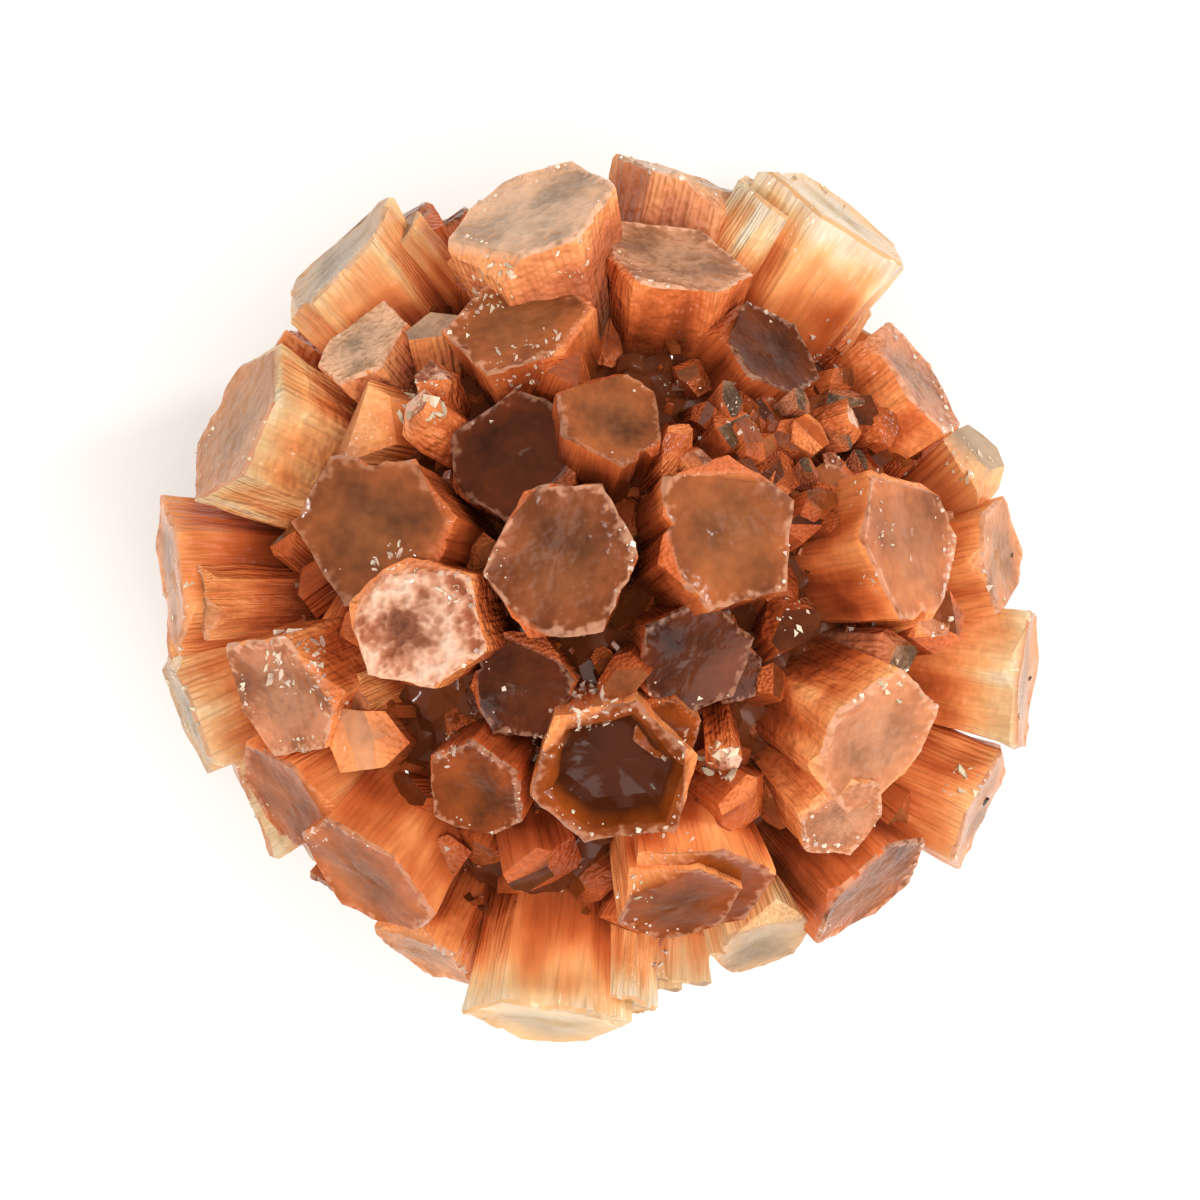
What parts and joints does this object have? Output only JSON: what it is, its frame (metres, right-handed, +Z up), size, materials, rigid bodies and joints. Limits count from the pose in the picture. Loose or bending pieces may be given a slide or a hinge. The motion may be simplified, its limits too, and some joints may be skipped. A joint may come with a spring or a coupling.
{
  "type": "aragonite sputnik cluster",
  "caption": "Ball-shaped cluster of stubby six-sided aragonite prisms that radiate from one centre, with flat mauve-brown ends and rust-orange sides; it rests on a small flat spot.",
  "frame": {"origin": "middle of the small flat spot that the ball rests on, under its centre of growth", "axes": "+Z up, from the flat spot through the centre of growth; +X to the right and +Y away, as seen from above"},
  "size_m": [0.0396, 0.0394, 0.0386],
  "materials": {
    "aragonite": "translucent, frosted flat ends over striated sides"
  },
  "bodies": {
    "root": {"crystal_cluster": "aragonite"}
  },
  "joints": []
}
